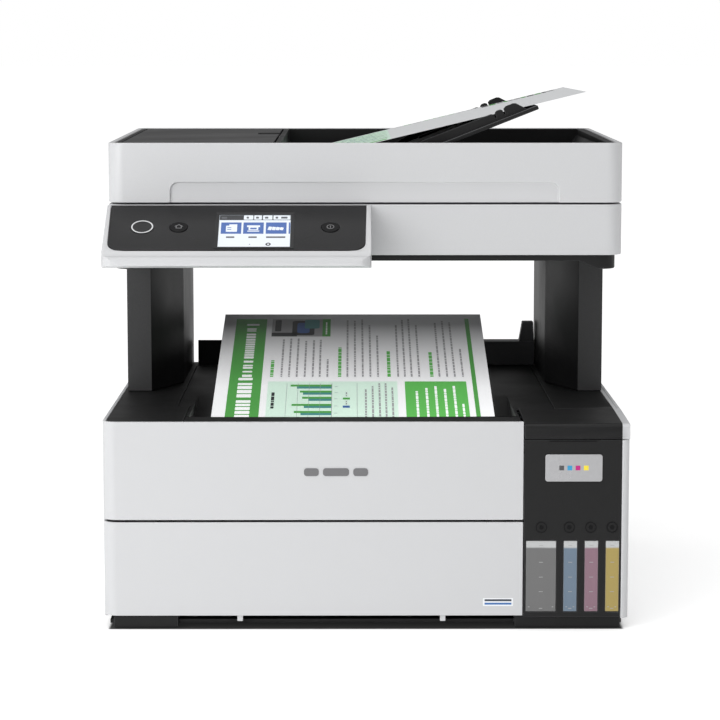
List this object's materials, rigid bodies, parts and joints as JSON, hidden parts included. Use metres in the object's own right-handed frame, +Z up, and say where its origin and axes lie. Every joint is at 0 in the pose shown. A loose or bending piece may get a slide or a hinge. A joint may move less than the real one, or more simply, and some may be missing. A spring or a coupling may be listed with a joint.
{
  "type": "inkjet printer",
  "caption": "All-in-one ink tank printer: base with paper cassette and side tanks, scanner unit on pillars, tilted control panel, lid with document feeder.",
  "frame": {"origin": "on the floor, under the middle of the body's footprint", "axes": "+X to the user's right, +Y to the back, +Z up"},
  "size_m": [0.375, 0.347, 0.3727],
  "materials": {
    "silver": "fine satin texture, moulded",
    "black": "fine spark texture",
    "dark": "fine spark texture",
    "grey": "fine texture",
    "fascia": "smooth, half gloss",
    "screen": "gloss",
    "pad": "smooth",
    "rubber": "matt",
    "steel": "satin",
    "board": "coated circuit board",
    "glass": "polished",
    "ink_black": "clear tank with ink",
    "ink_cyan": "clear tank with ink",
    "ink_magenta": "clear tank with ink",
    "ink_yellow": "clear tank with ink"
  },
  "bodies": {
    "base": {"chassis": "black", "left_side_cover": "silver", "right_side_cover": "silver", "rear_housing": "black", "top_frame": "black", "left_pillar": "dark", "right_pillar": "dark", "exit_guide": "grey", "tank_front_panel": "black", "ink_tank_black": "ink_black", "ink_tank_cyan": "ink_cyan", "ink_tank_magenta": "ink_magenta", "ink_tank_yellow": "ink_yellow", "carriage_rail": "steel", "feed_motor": "steel", "platen": "black", "maintenance_station": "dark", "main_board": "board", "power_supply": "steel", "power_inlet": "black", "foot_front_left": "rubber", "foot_front_right": "rubber", "foot_back_left": "rubber", "foot_back_right": "rubber", "scanner_base": "silver", "scanner_underside": "black", "scan_glass": "glass", "scan_rail": "steel", "panel_housing": "silver", "panel_fascia": "fascia", "touch_screen": "screen"},
    "lid": {"lid_frame": "silver", "lid_pan": "black", "backing_pad": "pad", "lid_hinge_left": "black", "lid_hinge_right": "black"},
    "adf_cover": {"adf_cover": "dark"},
    "document_tray": {"document_tray": "black"},
    "front_edge_guide": {"front_edge_guide": "dark"},
    "back_edge_guide": {"back_edge_guide": "dark"},
    "adf_roller": {"adf_roller": "rubber"},
    "scan_bar": {"scan_bar": "dark"},
    "front_cover": {"front_cover": "silver"},
    "cassette": {"cassette_front": "silver", "cassette_tray": "black"},
    "cassette_guide_left": {"cassette_guide_left": "dark"},
    "cassette_guide_right": {"cassette_guide_right": "dark"},
    "tank_lid": {"tank_lid": "black"},
    "tank_cap_black": {"tank_cap_black": "dark"},
    "tank_cap_cyan": {"tank_cap_cyan": "dark"},
    "tank_cap_magenta": {"tank_cap_magenta": "dark"},
    "tank_cap_yellow": {"tank_cap_yellow": "dark"},
    "output_tray": {"output_tray": "black"},
    "rear_cover": {"rear_cover": "black"},
    "print_carriage": {"print_carriage": "black"},
    "feed_roller": {"feed_roller": "rubber"},
    "output_roller": {"output_roller": "rubber"},
    "power_button": {"power_button": "fascia"},
    "home_button": {"home_button": "fascia"},
    "help_button": {"help_button": "fascia"}
  },
  "joints": [
    {"name": "lid_hinge", "type": "hinge", "parent": "base", "child": "lid", "pos_m": [0, 0.171, 0.30055], "axis": [-1, 0, 0], "range_deg": [0, 70]},
    {"name": "adf_cover_hinge", "type": "hinge", "parent": "lid", "child": "adf_cover", "pos_m": [-0.1795, 0, 0.3459], "axis": [0, -1, 0], "range_deg": [0, 75]},
    {"name": "document_tray_hinge", "type": "hinge", "parent": "lid", "child": "document_tray", "pos_m": [-0.02, 0, 0.3125], "axis": [0, -1, 0], "range_deg": [-20, 0]},
    {"name": "front_edge_guide_slide", "type": "slide", "parent": "document_tray", "child": "front_edge_guide", "axis": [0, 1, 0], "range_m": [0, 0.05]},
    {"name": "back_edge_guide_slide", "type": "slide", "parent": "document_tray", "child": "back_edge_guide", "axis": [0, 1, 0], "range_m": [-0.05, 0]},
    {"name": "adf_roller_spin", "type": "hinge", "parent": "lid", "child": "adf_roller", "pos_m": [-0.096, 0.03025, 0.3287], "axis": [0, 1, 0], "continuous": true},
    {"name": "scan_bar_slide", "type": "slide", "parent": "base", "child": "scan_bar", "axis": [1, 0, 0], "range_m": [0, 0.29]},
    {"name": "front_cover_hinge", "type": "hinge", "parent": "base", "child": "front_cover", "pos_m": [0, -0.17225, 0.08065], "axis": [1, 0, 0], "range_deg": [0, 80]},
    {"name": "cassette_slide", "type": "slide", "parent": "base", "child": "cassette", "axis": [0, -1, 0], "range_m": [0, 0.24]},
    {"name": "cassette_guide_left_slide", "type": "slide", "parent": "cassette", "child": "cassette_guide_left", "axis": [1, 0, 0], "range_m": [0, 0.05]},
    {"name": "cassette_guide_right_slide", "type": "slide", "parent": "cassette", "child": "cassette_guide_right", "axis": [1, 0, 0], "range_m": [-0.05, 0]},
    {"name": "tank_lid_hinge", "type": "hinge", "parent": "base", "child": "tank_lid", "pos_m": [0, -0.1092, 0.1488], "axis": [-1, 0, 0], "range_deg": [0, 60]},
    {"name": "tank_cap_black_hinge", "type": "hinge", "parent": "base", "child": "tank_cap_black", "pos_m": [0, -0.1297, 0.1218], "axis": [-1, 0, 0], "range_deg": [0, 80]},
    {"name": "tank_cap_cyan_hinge", "type": "hinge", "parent": "base", "child": "tank_cap_cyan", "pos_m": [0, -0.1297, 0.1218], "axis": [-1, 0, 0], "range_deg": [0, 80]},
    {"name": "tank_cap_magenta_hinge", "type": "hinge", "parent": "base", "child": "tank_cap_magenta", "pos_m": [0, -0.1297, 0.1218], "axis": [-1, 0, 0], "range_deg": [0, 80]},
    {"name": "tank_cap_yellow_hinge", "type": "hinge", "parent": "base", "child": "tank_cap_yellow", "pos_m": [0, -0.1297, 0.1218], "axis": [-1, 0, 0], "range_deg": [0, 80]},
    {"name": "output_tray_hinge", "type": "hinge", "parent": "base", "child": "output_tray", "pos_m": [0, 0.1415, 0.14875], "axis": [-1, 0, 0], "range_deg": [0, 18]},
    {"name": "rear_cover_slide", "type": "slide", "parent": "base", "child": "rear_cover", "axis": [0, 1, 0], "range_m": [0, 0.08]},
    {"name": "carriage_slide", "type": "slide", "parent": "base", "child": "print_carriage", "axis": [1, 0, 0], "range_m": [-0.232, 0]},
    {"name": "feed_roller_spin", "type": "hinge", "parent": "base", "child": "feed_roller", "pos_m": [0, 0.128, 0.086], "axis": [1, 0, 0], "continuous": true},
    {"name": "output_roller_spin", "type": "hinge", "parent": "base", "child": "output_roller", "pos_m": [0, 0.1563, 0.1625], "axis": [1, 0, 0], "continuous": true},
    {"name": "power_button_press", "type": "slide", "parent": "base", "child": "power_button", "axis": [0, 0.5069, -0.862], "range_m": [0, 0.001], "stiffness_N_per_m": 300},
    {"name": "home_button_press", "type": "slide", "parent": "base", "child": "home_button", "axis": [0, 0.5069, -0.862], "range_m": [0, 0.001], "stiffness_N_per_m": 300},
    {"name": "help_button_press", "type": "slide", "parent": "base", "child": "help_button", "axis": [0, 0.5069, -0.862], "range_m": [0, 0.001], "stiffness_N_per_m": 300}
  ],
  "couplings": [
    {"joint": "back_edge_guide_slide", "follows": "front_edge_guide_slide", "ratio": -1},
    {"joint": "cassette_guide_right_slide", "follows": "cassette_guide_left_slide", "ratio": -1},
    {"joint": "output_roller_spin", "follows": "feed_roller_spin", "ratio": 1.1818}
  ]
}
